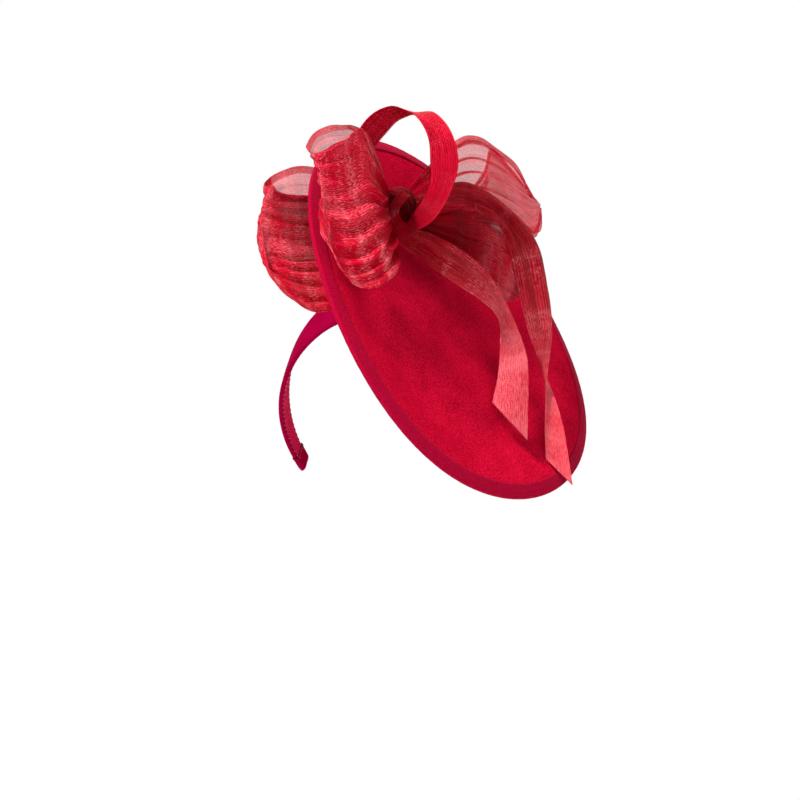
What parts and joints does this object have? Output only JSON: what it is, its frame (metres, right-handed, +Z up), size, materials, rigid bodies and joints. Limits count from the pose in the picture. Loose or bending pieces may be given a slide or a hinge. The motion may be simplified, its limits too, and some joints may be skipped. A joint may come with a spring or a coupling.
{
  "type": "fascinator headpiece",
  "caption": "Saucer-shaped felt fascinator on a satin-covered headband, with a gathered open-weave silk bow, a ribbon ring and long tails.",
  "frame": {"origin": "middle of the headband's inner face at the crown, where it sits on top of the head", "axes": "+Z up as worn, the wearer faces -Y and their left is +X; the band's arch leans 26 degrees forward about X"},
  "size_m": [0.1975, 0.2449, 0.2482],
  "materials": {
    "felt": "matt wool felt",
    "binding": "ribbed ribbon binding",
    "silk": "open-weave silk",
    "ribbon": "striped silk strip",
    "satin": "satin",
    "lining": "velvet ribbon",
    "core": "springy plastic strip",
    "wire": "bright drawn wire",
    "ferrule": "crimped brass tube",
    "thread": "waxed sewing thread"
  },
  "bodies": {
    "root": {"felt_plate": "felt", "rim_binding": "binding", "rim_wire": "wire", "wire_ferrule": "ferrule", "mount_pad": "felt", "tack_threads": "thread", "bow_base": "felt", "bow_knot": "silk", "rear_anchor": "felt", "loop_front": "silk", "loop_rear": "silk", "loop_fan": "silk", "flap_low": "silk", "ribbon_ring": "ribbon", "tail_front": "silk", "tail_side": "silk", "band_core_crown": "core", "band_cover_crown": "satin", "band_lining_crown": "lining"},
    "leg_right": {"band_core_right": "core", "band_cover_right": "satin", "band_lining_right": "lining", "end_cap_right": "satin"},
    "leg_left": {"band_core_left": "core", "band_cover_left": "satin", "band_lining_left": "lining", "end_cap_left": "satin"}
  },
  "joints": [
    {"name": "band_flex_right", "type": "hinge", "parent": "root", "child": "leg_right", "pos_m": [-0.04258, 0.00576, -0.01181], "axis": [0, 0.8988, 0.4384], "range_deg": [0, 8], "stiffness_Nm_per_rad": 0.6},
    {"name": "band_flex_left", "type": "hinge", "parent": "root", "child": "leg_left", "pos_m": [0.07256, 0.02721, -0.05578], "axis": [0, -0.8988, -0.4384], "range_deg": [0, 8], "stiffness_Nm_per_rad": 0.6}
  ]
}
